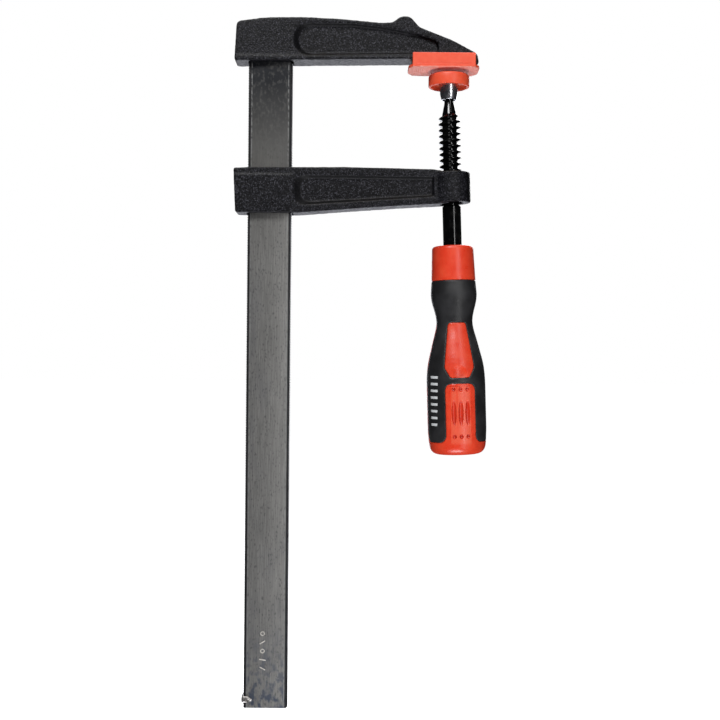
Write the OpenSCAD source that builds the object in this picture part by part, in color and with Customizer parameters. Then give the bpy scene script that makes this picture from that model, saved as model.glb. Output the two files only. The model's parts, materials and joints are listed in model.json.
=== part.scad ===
// Quick-action F clamp: a serrated steel rail with a cast fixed jaw at its top,
// a cast arm that slides on the rail, and a screw spindle with a swivel pad.
// Origin: centre of the fixed jaw's clamping face, on the line of the spindle.
// +Z runs up along the rail, +X from the rail towards the spindle. Millimetres.

/* [Rail] */
// Width of the rail over the tips of its teeth
rail_w = 21.8; // [18:0.1:26]
// Thickness of the rail
rail_t = 6; // [4:0.1:9]
// Length of rail below the clamping face
rail_drop = 315.3; // [220:0.5:520]
// Length of rail seated inside the fixed jaw, above the clamping face
rail_seat = 19; // [12:0.5:21]
// Clear distance from the rail to the line of the spindle
throat = 77.3; // [60:0.5:120]
// Pitch of the rail's teeth
tooth_pitch = 1.25; // [1:0.05:3]
// Height of the rail's teeth
tooth_h = 0.5; // [0.2:0.05:0.8]
// Width of the staked stop near the foot of the rail
stop_w = 5.2; // [3:0.1:8]
// Height of the staked stop
stop_h = 3.2; // [2:0.1:6]
// How far the staked stop stands out of the rail
stop_out = 0.8; // [0.4:0.1:1.5]
// Distance from the foot of the rail to the stop's centre
stop_up = 4.3; // [3:0.1:12]

/* [Castings] */
// Thickness of the castings at the rail and along their lower flange
cast_t = 13.6; // [11:0.1:20]
// Thickness of the castings' other flanges
flange_t = 12.8; // [10:0.1:19]
// Casting left between the rail's slot and the floors of the side recesses
web_wall = 0.85; // [0.6:0.05:1.5]
// Plan radius of the castings' back corners
back_r = 3; // [1:0.1:5]
// Gap between the rail and its seat in the fixed jaw
seat_gap = 0.05; // [0.02:0.01:0.1]
// Gap between the rail's teeth and the sliding arm's slot, each side
slot_gap_x = 0.45; // [0.3:0.05:1]
// Gap between the rail's faces and the sliding arm's slot, each side
slot_gap_y = 0.35; // [0.3:0.05:0.8]
// Distance from the rail's edge to where the side recesses begin
recess_gap = 0.3; // [0:0.1:4]
// How far the castings' backs lean out at one edge and in at the other
back_lean = 0.5; // [0:0.1:1]

/* [Fixed jaw] */
// Height of the fixed jaw's back above the clamping face
jaw_h = 24.7; // [23:0.1:34]
// Height of the fixed jaw's underside above the clamping face
jaw_under = 4.6; // [3.5:0.1:5.2]
// How far the fixed jaw's nose passes the line of the spindle
jaw_nose = 14.4; // [12:0.1:20]
// Casting behind the rail
back_wall = 6.2; // [4.5:0.1:10]

/* [Jaw cap] */
// Thickness of plastic under the jaw's nose
cap_base = 1.3; // [1:0.1:2]
// Length of the cap's box along the jaw
cap_len = 30.8; // [26:0.1:34]
// How far the cap's box passes the line of the spindle
cap_nose = 12.4; // [10:0.1:13.5]
// Height of the cap's side walls
cap_h = 7.1; // [5.5:0.1:9]
// Thickness of the cap's side walls
cap_wall = 2.5; // [1.5:0.1:3.5]
// How far the cap's base plate passes the box at each end
cap_lip = 1.9; // [1:0.1:3]
// Thickness of the cap's base plate outside the box
cap_lip_t = 1.6; // [0.8:0.1:2.5]
// Thickness of the cap's low back wall, under the jaw
cap_back = 1.4; // [1:0.1:2.5]
// Gap between the cap's walls and the jaw
cap_gap = 0.1; // [0.05:0.01:0.3]

/* [Sliding arm] */
// Height of the sliding arm's top edge below the clamping face
arm_top = 49.2; // [46:0.1:70]
// Height of the sliding arm at the rail
arm_h = 22.1; // [18:0.1:30]
// Height of the sliding arm beside the boss
arm_tip_h = 16.8; // [14:0.1:20]
// Diameter of the threaded boss
boss_d = 18.9; // [16:0.1:26]
// Length of the threaded boss
boss_h = 14.8; // [12:0.1:20]

/* [Spindle] */
// Lean of the spindle's axis away from the rail, in degrees
screw_lean = 1.9; // [0:0.1:2.5]
// Diameter over the thread
thread_d = 10.9; // [9:0.1:12]
// Diameter at the bottom of the thread
core_d = 7.2; // [6.5:0.1:8]
// Travel for one turn of the spindle
thread_pitch = 3; // [2.5:0.1:4]
// Thread that shows below the boss with the clamp closed
thread_run = 1.4; // [1:0.1:12]
// Radial and axial clearance of the thread in the boss
thread_gap = 0.16; // [0.12:0.01:0.25]
// Diameter of the smooth shank
shank_d = 9.1; // [8:0.1:10]
// Diameter of the neck under the ball
neck_d = 4.6; // [3.5:0.1:4.8]
// Diameter of the ball
ball_d = 7; // [6.6:0.1:7.4]
// Height of the ball's flat lower face below its centre, as a share of its radius
ball_flat = 0.86; // [0.8:0.01:0.9]
// Depth of the ball's centre below the pad cap's lower edge
ball_drop = 2.95; // [2.9:0.05:3.6]
// Distance from the ball's centre to the top of the taper under it
neck_len = 4.4; // [4:0.1:5]
// Distance from the ball's centre to the first thread
thread_lead = 9.6; // [9:0.1:14]
// Diameter of the spindle's tenon in the ball
tenon_d = 3; // [2:0.1:3.6]
// Radial running clearance of the tenon in the ball
tenon_gap = 0.04; // [0.02:0.01:0.09]

/* [Swivel pad] */
// Gap between the two clamping faces with the clamp closed
pad_gap = 2.05; // [2.05:0.05:4]
// Diameter of the plastic pad cap
pad_d = 20.2; // [18:0.1:26]
// Height of the plastic pad cap
pad_h = 5.9; // [5:0.1:8]
// Wall of the plastic pad cap
pad_wall = 1.3; // [0.8:0.1:2]
// Diameter of the hole in the cap's inner lip, round the pad's neck
cap_hole_d = 10.2; // [9.6:0.1:12]
// Thickness of the cap's inner lip
cap_lip_in = 0.5; // [0.3:0.05:0.9]
// Thickness of the metal disc inside the cap
disc_t = 2.4; // [1.5:0.1:3]
// Diameter of the pad's metal neck where it leaves the disc
socket_d = 9; // [8.9:0.1:10]
// Diameter of the pad's crimped lower end
crimp_d = 7.6; // [7.5:0.1:8.4]
// Wall of the crimped lower end
crimp_wall = 0.6; // [0.4:0.05:0.7]
// Distance from the ball's centre to the end of the crimp
crimp_drop = 3.3; // [2.6:0.1:3.6]
// Radial clearance between the ball and its socket
ball_gap = 0.05; // [0.02:0.01:0.1]

/* [Handle] */
// Distance from the boss to the top of the handle with the clamp closed
handle_gap = 21.4; // [16:0.1:50]
// Length of the handle
handle_len = 103.3; // [85:0.1:130]
// Diameter of the handle's collar at its top
collar_d = 20.3; // [18:0.1:24]
// Length of the collar
collar_len = 17.2; // [12:0.1:22]
// Diameter of the handle's waist
waist_d = 17.8; // [16:0.1:20]
// Height of the core's domed end below the grip
dome_h = 7; // [5:0.5:10]
// Distance from the end of the handle to the end of the shank's bore
bore_end = 14; // [8:0.5:40]
// Largest diameter of the handle
grip_d = 29; // [26:0.1:34]
// Thickness of the soft grip over the core
grip_t = 2.2; // [1.2:0.1:2.6]
// Width of the three lower windows in the grip
window_w = 14.4; // [10:0.1:16]
// Radius of the grip's corners at the foot of each window
foot_r = 3.5; // [2:0.1:4]
// Turn of the first window from the clamp's front, in degrees
window_turn = 4; // [-30:1:30]

/* [Hidden] */
$fn = 48;
eps = 0.01;                     // overlap that keeps a cut clean
rail_x1 = -throat;              // rail edge that faces the spindle
rail_x0 = rail_x1 - rail_w;     // rail edge at the back
rail_x = (rail_x0 + rail_x1) / 2;
back_x = rail_x0 - back_wall;   // back of both castings
recess_x = rail_x1 + recess_gap;   // where the side recesses begin
web_t = rail_t + 2 * (slot_gap_y + web_wall);   // thickness of the web between the recesses
// Everything on the spindle hangs from the centre of its ball
ball_z = -pad_gap - pad_h - ball_drop;
boss_top = arm_top + 1.3 + ball_z;      // depth of the boss's top face below the ball
thread_len = boss_top + boss_h + thread_run - thread_lead;
handle_top = boss_top + boss_h + handle_gap;
jaw_seat_z = cap_base;                  // jaw face that the cap's base covers
stop_z = -rail_drop + stop_up;
handle_end = handle_top + handle_len;
grip_top = handle_top + collar_len;
grip_end = handle_end - dome_h;
flat_z = ball_d / 2 * ball_flat;        // depth of the ball's flat below its centre

// Points of an outline [[x, y, corner radius], ...] with each corner made an arc
function arc_steps(r) = r > 12 ? 4 : 5;
function corner(a, p, b) =
    let(u = [a.x - p.x, a.y - p.y] / norm([a.x - p.x, a.y - p.y]),
        v = [b.x - p.x, b.y - p.y] / norm([b.x - p.x, b.y - p.y]),
        half = acos(max(-1, min(1, u * v))) / 2)
    p.z <= 0 || half > 89.5 ? [[p.x, p.y]] :
    let(c = [p.x, p.y] + (u + v) / norm(u + v) * p.z / sin(half),
        s = [p.x, p.y] + u * p.z / tan(half) - c,
        e = [p.x, p.y] + v * p.z / tan(half) - c,
        turn = sign(s.x * e.y - s.y * e.x) * (180 - 2 * half),
        n = arc_steps(p.z))
    [for (i = [0:n]) let(t = turn * i / n)
        c + [s.x * cos(t) - s.y * sin(t), s.x * sin(t) + s.y * cos(t)]];
function rounded(pts) = let(n = len(pts))
    [for (i = [0:n - 1]) each corner(pts[(i + n - 1) % n], pts[i], pts[(i + 1) % n])];

// A plate with the given outline in X and Z, centred on Y = 0
module plate(pts, t) {
    rotate([90, 0, 0]) linear_extrude(height = t, center = true) polygon(pts);
}

// Places its children on the spindle's leaning axis, with the ball's centre as origin
module on_screw() {
    translate([0, 0, ball_z]) rotate([0, -screw_lean, 0]) children();
}

// Cuts away what lies outside the castings' rounded back corners
module back_corners(t) {
    z0 = -rail_drop;
    translate([0, 0, z0]) linear_extrude(height = rail_drop + 60)
        polygon(rounded([[back_x - 2, -t / 2, back_r], [80, -t / 2, 0], [80, t / 2, 0],
                         [back_x - 2, t / 2, back_r]]));
}

// ---- Rail: flat steel bar, toothed on both edges, staked near its foot ----
module rail() {
    z0 = -rail_drop;
    teeth = floor((rail_drop + jaw_under - 1) / tooth_pitch);
    function edge(x, out, i) = [[x - out * tooth_h, z0 + i * tooth_pitch],
                                [x, z0 + (i + 0.5) * tooth_pitch]];
    left = [for (i = [0:teeth - 1]) each edge(rail_x0, -1, i)];
    right = [for (i = [teeth - 1:-1:0]) each [edge(rail_x1, 1, i)[1], edge(rail_x1, 1, i)[0]]];
    color("#8d8f90") union() {
        plate(concat(left, [[rail_x0 + tooth_h, z0 + teeth * tooth_pitch],
                            [rail_x0 + tooth_h, rail_seat],
                            [rail_x1 - tooth_h, rail_seat],
                            [rail_x1 - tooth_h, z0 + teeth * tooth_pitch]], right), rail_t);
        translate([rail_x0 - stop_out + stop_w / 2, 0, stop_z])
            plate(rounded([[-stop_w / 2, -stop_h / 2, stop_h * 0.45],
                           [stop_w / 2, -stop_h / 2, stop_h * 0.45],
                           [stop_w / 2, stop_h / 2, stop_h * 0.45],
                           [-stop_w / 2, stop_h / 2, stop_h * 0.45]]), rail_t + 2 * stop_out);
    }
}

// ---- Fixed jaw: ribbed casting pressed on the rail, with a nose for the cap ----
// A point part of the way along the jaw, from the rail (0) to the spindle (1)
function along(part) = rail_x1 + part * throat;

module fixed_jaw() {
    step_x = cap_nose - cap_len + cap_back + 0.7;   // where the nose's foot steps down into the cap
    outline = rounded([
        [back_x - back_lean, jaw_under - 1.4, 0.8], [back_x + back_lean, jaw_h - 2.3, 2.5],
        [rail_x - 3, jaw_h - 0.4, 30], [along(0.05), jaw_h, 40], [along(0.3), jaw_h - 0.8, 40],
        [along(0.55), jaw_h - 2.5, 20], [along(0.63), jaw_h - 2.4, 4],
        [along(0.69), jaw_h + 0.8, 5.4], [along(0.745), jaw_h + 0.7, 4.6],
        [along(0.805), jaw_h - 4.5, 5], [jaw_nose - 12.8, jaw_h - 11, 40],
        [jaw_nose - 1, jaw_h - 17.3, 3], [jaw_nose, jaw_seat_z, 2],
        [step_x, jaw_seat_z, 1], [step_x - 0.6, jaw_under, 0]]);
    low = jaw_under + 1.3;              // lower edge of the recess
    recess = rounded([
        [recess_x, low, 7], [recess_x, jaw_h - 3, 7], [along(0.37), jaw_h - 3, 40],
        [along(0.58), jaw_h - 4.8, 40], [along(0.8), jaw_h - 8.2, 20],
        [along(0.93), jaw_h - 11.6, 4], [along(0.925), low + 1.4, 2]]);
    color("#26272a") difference() {
        intersection() {
            union() {
                plate(outline, flange_t);
                intersection() {
                    plate(outline, cast_t);
                    translate([back_x - 1, -cast_t / 2, 0])
                        cube([jaw_nose - back_x + 2, cast_t, jaw_under + 1]);
                }
            }
            back_corners(cast_t);
        }
        for (side = [-1, 1])
            translate([0, side * (web_t / 2 + cast_t / 2), 0]) plate(recess, cast_t);
        // blind seat for the top of the rail
        translate([rail_x0 - seat_gap, -rail_t / 2 - seat_gap, 0])
            cube([rail_w + 2 * seat_gap, rail_t + 2 * seat_gap, rail_seat + seat_gap]);
    }
}

// ---- Jaw cap: plastic channel clipped over the nose, with a wider base plate ----
module jaw_cap() {
    x0 = cap_nose - cap_len;
    wall_y = cast_t / 2 + cap_gap;
    y1 = wall_y + cap_wall;
    color("#f0583a") difference() {
        union() {
            translate([x0, -y1, 0]) cube([cap_len, 2 * y1, cap_h]);
            linear_extrude(height = cap_lip_t)
                polygon(rounded([[x0 - cap_lip, -y1 - 0.3, 6], [cap_nose + cap_lip + 0.3, -y1 - 0.3, 6],
                                 [cap_nose + cap_lip + 0.3, y1 + 0.3, 6], [x0 - cap_lip, y1 + 0.3, 6]]));
        }
        // channel for the nose, open at the top and at the nose's end
        translate([x0 + cap_back, -wall_y, cap_base]) cube([cap_len + 10, 2 * wall_y, cap_h + 2]);
        translate([x0 - 5, -wall_y, jaw_under - cap_gap]) cube([10, 2 * wall_y, cap_h]);
    }
}

// ---- Thread: one closed helical solid, right-handed, faded out at both ends ----
// grow widens it on every side, which makes the matching thread inside the boss
module thread(z_low, turns, grow) {
    cols = 20;
    r0 = core_d / 2 + grow;
    r1 = thread_d / 2 + grow;
    flank = 0.8;
    crest = thread_pitch - 2 * flank - 0.7;
    steps = [[0, 0], [flank - grow, 1], [flank + crest + grow, 1], [2 * flank + crest, 0]];
    rows = 4 * turns;
    function fade(t) = max(0, min(1, (t - 0.05) * 2, (turns - 0.05 - t) * 2));
    function at(i, j) =
        let(k = floor(j / 4), m = steps[j % 4], a = 360 * i / cols,
            r = r0 + m[1] * (r1 - r0) * fade(k + i / cols))
        [r * cos(a), r * sin(a), z_low + 0.5 + (k + i / cols) * thread_pitch + m[0]];
    z_high = z_low + (turns + 1) * thread_pitch + 0.5;
    // each column: its foot, its rows of the helix, its head; then the two centres
    span = rows + 2;
    pts = concat([for (i = [0:cols - 1]) let(a = 360 * i / cols)
                     each concat([[r0 * cos(a), r0 * sin(a), z_low]],
                                 [for (j = [0:rows - 1]) at(i, j)],
                                 [[r0 * cos(a), r0 * sin(a), z_high]])],
                 [[0, 0, z_low], [0, 0, z_high]]);
    foot = cols * span;
    head = foot + 1;
    sides = [for (i = [0:cols - 2], j = [0:span - 2])
                each [[i * span + j, i * span + j + 1, (i + 1) * span + j + 1],
                      [i * span + j, (i + 1) * span + j + 1, (i + 1) * span + j]]];
    // the last column meets the first one turn, or four rows, higher up
    last = (cols - 1) * span;
    seam = [for (j = [0:span - 6])
                each [[last + j, last + j + 1, j + 5], [last + j, j + 5, j + 4]]];
    start = [for (j = [0:3]) [last, j + 1, j]];
    finish = [for (j = [span - 5:span - 2]) [last + j, last + j + 1, span - 1]];
    caps = [for (i = [0:cols - 1]) let(n = (i + 1) % cols)
                each [[foot, i * span, n * span],
                      [head, n * span + span - 1, i * span + span - 1]]];
    polyhedron(pts, concat(sides, seam, start, finish, caps));
}

// ---- Sliding arm: ribbed casting with a slot for the rail and a threaded boss ----
module sliding_arm() {
    top = -arm_top;
    outline = rounded([
        [back_x - back_lean, top - 0.3, 0.7], [rail_x - 10, top + 0.1, 0], [along(0.34), top + 0.5, 60],
        [along(0.9), top - 0.2, 0], [0, top - 1.4, 0], [0, top - arm_tip_h, 0],
        [along(0.69), top - arm_tip_h - 1.4, 40], [along(0.34), top - arm_h + 1.9, 40],
        [rail_x1 + 3, top - arm_h, 6], [back_x + back_lean, top - arm_h, 1]]);
    recess = rounded([
        [recess_x, top - 3.6, 5.5], [along(0.903), top - 3.9, 0.5],
        [along(0.903), top - arm_tip_h + 3.1, 0.5], [along(0.37), top - arm_h + 5.4, 40],
        [recess_x, top - arm_h + 3.4, 5.5]]);
    color("#26272a") difference() {
        union() {
            intersection() {
                union() {
                    plate(outline, flange_t);
                    intersection() {
                        plate(outline, cast_t);
                        translate([back_x - 1, -cast_t / 2, top - arm_h - 1])
                            cube([rail_x1 + 2 - back_x, cast_t, arm_h - 2.5]);
                    }
                }
                back_corners(cast_t);
            }
            on_screw() translate([0, 0, -boss_top - boss_h]) cylinder(d = boss_d, h = boss_h);
        }
        for (side = [-1, 1])
            difference() {
                translate([0, side * (web_t / 2 + cast_t / 2), 0]) plate(recess, cast_t);
                on_screw() translate([0, 0, -boss_top - boss_h]) cylinder(d = boss_d, h = boss_h);
            }
        translate([rail_x0 - slot_gap_x, -rail_t / 2 - slot_gap_y, top - arm_h - 5])
            cube([rail_w + 2 * slot_gap_x, rail_t + 2 * slot_gap_y, arm_h + 10]);
        // the thread of the boss is the spindle's own helix, grown by its clearance
        on_screw() {
            low = -thread_lead - thread_len;
            skip = floor((-boss_top - boss_h - low) / thread_pitch) - 2;
            thread(low + skip * thread_pitch, ceil(boss_h / thread_pitch) + 3, thread_gap);
        }
    }
}

// ---- Spindle: tenon, neck, thread and smooth shank turned from one bar ----
module spindle() {
    neck_top = -flat_z - 0.1;                 // just under the ball's flat
    tenon_h = flat_z + 0.9;
    low = -thread_lead - thread_len;
    turns = floor(thread_len / thread_pitch) - 1;
    color("#17181a") on_screw() union() {
        translate([0, 0, neck_top - eps]) cylinder(d = tenon_d, h = tenon_h);
        translate([0, 0, -neck_len]) cylinder(d = neck_d, h = neck_len + neck_top);
        translate([0, 0, -thread_lead + 0.8])
            cylinder(d1 = core_d - 0.5, d2 = neck_d, h = thread_lead - neck_len - 0.8 + eps);
        // core bar inside the thread, then the shank into the handle
        translate([0, 0, low - 1]) cylinder(d = core_d - 0.5, h = thread_len + 2);
        thread(low, turns, 0);
        translate([0, 0, -handle_end + bore_end])
            cylinder(d = shank_d, h = handle_end - bore_end + low + 0.4);
    }
}

// ---- Ball tip: the ball that carries the pad, turning freely on the tenon ----
module ball_tip() {
    color("#b9bcc0") on_screw() difference() {
        intersection() {
            sphere(d = ball_d, $fn = 64);
            translate([0, 0, -flat_z]) cylinder(d = ball_d + 2, h = flat_z + ball_d);
        }
        translate([0, 0, -flat_z - 1]) cylinder(r = tenon_d / 2 + tenon_gap, h = flat_z + 2.2);
    }
}

// ---- Swivel pad: zinc disc with a socket crimped round the ball ----
module swivel_pad() {
    face = -pad_gap - pad_wall - ball_z;       // height of the disc above the ball's centre
    disc_r = pad_d / 2 - pad_wall - 0.05;
    seat = ball_d / 2 + ball_gap;
    color("#c3c6ca") translate([0, 0, ball_z]) rotate_extrude($fn = 72) polygon([
        [0, face], [disc_r - 0.4, face], [disc_r, face - 0.4], [disc_r, face - disc_t + 0.3],
        [disc_r - 0.3, face - disc_t], [socket_d / 2 + 0.5, face - disc_t],
        [socket_d / 2, face - disc_t - 0.5], [crimp_d / 2, -crimp_drop],
        [crimp_d / 2 - crimp_wall, -crimp_drop], [seat, -1.2], [seat, seat - 1],
        [seat - 1, seat], [0, seat]]);
}

// ---- Pad cap: plastic cup pushed over the disc, its rim turned in below it ----
module pad_cap() {
    r = pad_d / 2;
    top = -pad_gap;
    low = top - pad_h;
    disc_low = top - pad_wall - disc_t - 0.1;
    rim = 1;
    color("#ee5a36") rotate_extrude($fn = 72) polygon(concat(
        [[0, top]], [for (i = [0:5]) [r - rim + rim * sin(18 * i), top - rim + rim * cos(18 * i)]],
        [[r, low + 0.3], [r - 0.3, low], [r - pad_wall, low],
         [r - pad_wall - 0.2, disc_low - cap_lip_in], [cap_hole_d / 2, disc_low - cap_lip_in],
         [cap_hole_d / 2, disc_low], [r - pad_wall, disc_low],
         [r - pad_wall, top - pad_wall], [0, top - pad_wall]]));
}

// ---- Handle: stations [distance below the ball's centre, radius] of its outside ----
waist = grip_top + 20;
belly = grip_top + 58;
stations = [[grip_top, collar_d / 2 + 0.75], [grip_top + 7, collar_d / 2 + 1.2],
            [waist, waist_d / 2], [waist + 11, waist_d / 2 + 2.4], [waist + 23, grip_d / 2 - 0.5],
            [belly, grip_d / 2], [belly + 14.5, grip_d / 2], [grip_end, grip_d / 2 - 0.3]];
// Slope at a station, then a smooth curve through all of them
function slope(i) = i == 0 || i == len(stations) - 1 ? 0 :
    let(a = stations[i - 1], p = stations[i], b = stations[i + 1])
    (b[1] - p[1]) * (p[1] - a[1]) <= 0 ? 0 : (b[1] - a[1]) / (b[0] - a[0]);
function between(i, t) =
    let(a = stations[i], b = stations[i + 1], d = b[0] - a[0])
    [a[0] + t * d,
     (2 * t^3 - 3 * t^2 + 1) * a[1] + (t^3 - 2 * t^2 + t) * d * slope(i)
     + (3 * t^2 - 2 * t^3) * b[1] + (t^3 - t^2) * d * slope(i + 1)];
grip_curve = concat([for (i = [0:len(stations) - 2], t = [0:0.2:0.8]) between(i, t)],
                    [stations[len(stations) - 1]]);

// Outlines of one window's two openings, [across, down from the ball's centre]
window_side = window_w / 2;
window_top = waist + 0.8;       // where the upper opening begins
window_foot = waist + 27.7;     // where it ends
bridge = 2.9;                   // grip left between the two openings
lower_top = window_foot + bridge;
upper_window = rounded([[-4.3, window_top, 1.5], [4.3, window_top, 1.5],
                        [window_side, window_foot - 4.9, 3], [4.6, window_foot, 1.5],
                        [-4.6, window_foot, 1.5], [-window_side, window_foot - 4.9, 3]]);
foot_z = grip_end + 0.3;        // the rounded foot corners run out through the grip's edge
foot_x = window_side + foot_r + 0.5;
lower_window = rounded([[-window_side, lower_top, 3], [window_side, lower_top, 3],
                        [window_side, foot_z, foot_r], [foot_x, foot_z, 0],
                        [foot_x, foot_z + 2, 0], [-foot_x, foot_z + 2, 0],
                        [-foot_x, foot_z, 0], [-window_side, foot_z, foot_r]]);

// The three windows as prisms that point out from the handle's axis
module windows() {
    for (k = [0:2]) rotate([0, 0, window_turn + 120 * k])
        for (w = [upper_window, lower_window])
            rotate([90, 0, 0]) linear_extrude(height = grip_d) mirror([0, 1]) polygon(w);
}

// The outside of the handle between two depths, moved in by inset
module grip_body(inset) {
    rotate_extrude($fn = 72) mirror([0, 1])
        polygon(concat([[0, grip_top]], [for (p = grip_curve) [p[1] - inset, p[0]]], [[0, grip_end]]));
}

// ---- Handle core: hard plastic collar, body, window lands and end cap ----
module handle_core() {
    collar_r = collar_d / 2;
    end_r = grip_d / 2 - 0.3;
    color("#e8452c") on_screw() difference() {
        union() {
            rotate_extrude($fn = 72) mirror([0, 1]) polygon(rounded([
                [0, handle_top, 0], [collar_r, handle_top, 1.6], [collar_r + 0.75, grip_top, 0],
                [0, grip_top, 0]]));
            grip_body(grip_t);
            intersection() {
                grip_body(0);
                windows();
            }
            rotate_extrude($fn = 72) mirror([0, 1]) polygon(rounded([
                [0, grip_end, 0], [end_r, grip_end, 0], [end_r - 0.9, handle_end - 0.9, 4.5],
                [0, handle_end, 0]]));
        }
        // blind bore for the shank
        translate([0, 0, -handle_end + bore_end - 0.2])
            cylinder(r = shank_d / 2 + 0.02, h = handle_len);
    }
}

// ---- Handle grip: soft rubber moulded round the core, open at the windows ----
module handle_grip() {
    color("#1d1d1f") on_screw() difference() {
        grip_body(0);
        grip_body(grip_t);
        windows();
    }
}

rail();
fixed_jaw();
jaw_cap();
sliding_arm();
spindle();
ball_tip();
swivel_pad();
pad_cap();
handle_core();
handle_grip();
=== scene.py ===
import json
import math

import bmesh
import bpy
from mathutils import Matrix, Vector


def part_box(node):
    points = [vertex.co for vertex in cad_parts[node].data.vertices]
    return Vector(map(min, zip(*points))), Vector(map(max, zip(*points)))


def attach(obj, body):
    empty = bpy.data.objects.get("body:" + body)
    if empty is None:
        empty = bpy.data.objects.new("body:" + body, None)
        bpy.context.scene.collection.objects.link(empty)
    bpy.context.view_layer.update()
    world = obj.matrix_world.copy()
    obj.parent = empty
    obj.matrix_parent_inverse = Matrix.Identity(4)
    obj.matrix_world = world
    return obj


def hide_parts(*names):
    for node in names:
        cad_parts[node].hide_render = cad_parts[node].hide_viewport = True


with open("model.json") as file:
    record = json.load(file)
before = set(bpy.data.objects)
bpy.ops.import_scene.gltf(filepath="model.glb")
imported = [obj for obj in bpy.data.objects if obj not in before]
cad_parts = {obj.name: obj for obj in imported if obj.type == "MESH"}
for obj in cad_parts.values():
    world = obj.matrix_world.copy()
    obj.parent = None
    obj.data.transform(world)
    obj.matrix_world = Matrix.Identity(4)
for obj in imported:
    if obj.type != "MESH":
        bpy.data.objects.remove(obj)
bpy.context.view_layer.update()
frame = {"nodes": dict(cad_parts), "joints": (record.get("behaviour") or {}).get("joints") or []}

# ---------------------------------------------------------------------------
# Rail. A flat bar of drawn steel with a row of fine teeth rolled into both
# edges, which the sliding arm bites on. It is cut to length, pressed into the
# fixed jaw at its top and staked near its foot, so that the arm can't fall off.
# ---------------------------------------------------------------------------
mm = 0.001
rail_low, rail_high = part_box("rail")
rail_width = 21.8 * mm
rail_thick = 6 * mm
tooth_pitch = 1.25 * mm
tooth_height = 0.5 * mm
edge_bevel = 0.8 * mm
rail_mid = rail_high.x - rail_width / 2
tooth_count = 255


def alone(piece=None):
    """Leaves edit mode, deselects everything and then selects this piece alone."""
    if bpy.context.object and bpy.context.object.mode != "OBJECT":
        bpy.ops.object.mode_set(mode="OBJECT")
    bpy.ops.object.select_all(action="DESELECT")
    if piece:
        piece.select_set(True)
        bpy.context.view_layer.objects.active = piece
    return piece


def named(name):
    """Names the piece that was just added and opens it in edit mode, all selected."""
    piece = bpy.context.object
    piece.name = piece.data.name = name
    bpy.ops.object.transform_apply(location=True, rotation=True, scale=True)
    bpy.ops.object.mode_set(mode="EDIT")
    bpy.ops.mesh.select_mode(type="VERT")
    bpy.ops.mesh.select_all(action="SELECT")
    return piece


def pick(piece, kind, test):
    """In edit mode, selects only the vertices, edges or faces that pass the test."""
    bpy.ops.mesh.select_mode(type=kind)
    bpy.ops.mesh.select_all(action="DESELECT")
    shape = bmesh.from_edit_mesh(piece.data)
    for part in {"VERT": shape.verts, "EDGE": shape.edges, "FACE": shape.faces}[kind]:
        if test(part):
            part.select_set(True)
    shape.select_flush_mode()
    bmesh.update_edit_mesh(piece.data)


def finish(piece, kind, **settings):
    """Adds one modifier with these settings and applies it."""
    alone(piece)
    step = piece.modifiers.new(kind.lower(), kind)
    for setting, value in settings.items():
        setattr(step, setting, value)
    bpy.ops.object.modifier_apply(modifier=step.name)


def carve(piece, *cutters, how="DIFFERENCE"):
    """Cuts the cutters out of the piece, or joins them to it, and removes them."""
    for cutter in cutters:
        finish(piece, "BOOLEAN", object=cutter, operation=how, solver="EXACT")
        bpy.data.objects.remove(cutter)


def outward(piece):
    """Merges doubles and turns every face outwards."""
    alone(piece)
    bpy.ops.object.mode_set(mode="EDIT")
    bpy.ops.mesh.select_all(action="SELECT")
    bpy.ops.mesh.remove_doubles(threshold=0.002 * mm)
    bpy.ops.mesh.normals_make_consistent(inside=False)
    bpy.ops.object.mode_set(mode="OBJECT")


def join(piece, *others):
    """Joins the other pieces into this one."""
    alone(piece)
    for other in others:
        other.select_set(True)
    bpy.ops.object.join()
    return piece


def middle(part):
    """Centre of an edge."""
    return (part.verts[0].co + part.verts[1].co) / 2


# one tooth's length of bar, rounded along its four corners, then repeated
bpy.ops.object.select_all(action="DESELECT")
bpy.ops.mesh.primitive_cube_add(size=1, location=(rail_mid, 0, rail_low.z + tooth_pitch / 2),
                                scale=(rail_width, rail_thick, tooth_pitch))
rail = named("rail_bar")
pick(rail, "EDGE", lambda e: abs(e.verts[0].co.z - e.verts[1].co.z) > tooth_pitch / 2)
bpy.ops.mesh.bevel(offset=edge_bevel, segments=3, affect="EDGES")
pick(rail, "FACE", lambda f: abs(f.normal.z) > 0.9)
bpy.ops.mesh.delete(type="ONLY_FACE")
bpy.ops.mesh.select_all(action="SELECT")
bpy.ops.mesh.bisect(plane_co=(0, 0, rail_low.z + tooth_pitch / 2), plane_no=(0, 0, 1))
root = rail_width / 2 - edge_bevel / 2
for side in (-1, 1):
    pick(rail, "VERT", lambda v: side * (v.co.x - rail_mid) > root
         and abs(v.co.z - rail_low.z - tooth_pitch / 2) > tooth_pitch / 4)
    bpy.ops.transform.translate(value=(-side * tooth_height, 0, 0))
finish(rail, "ARRAY", count=tooth_count, use_relative_offset=False, use_constant_offset=True,
       constant_offset_displace=(0, 0, tooth_pitch), use_merge_vertices=True,
       merge_threshold=0.01 * mm)
bpy.ops.object.mode_set(mode="EDIT")
pick(rail, "VERT", lambda v: v.co.z > rail_low.z + (tooth_count - 0.1) * tooth_pitch)
top_of_teeth = rail_low.z + tooth_count * tooth_pitch
bpy.ops.mesh.extrude_region_move(
    TRANSFORM_OT_translate={"value": (0, 0, rail_high.z - top_of_teeth)})
for height in (rail_low.z, rail_high.z):
    pick(rail, "VERT", lambda v: abs(v.co.z - height) < 0.01 * mm)
    bpy.ops.mesh.edge_face_add()
outward(rail)

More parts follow.
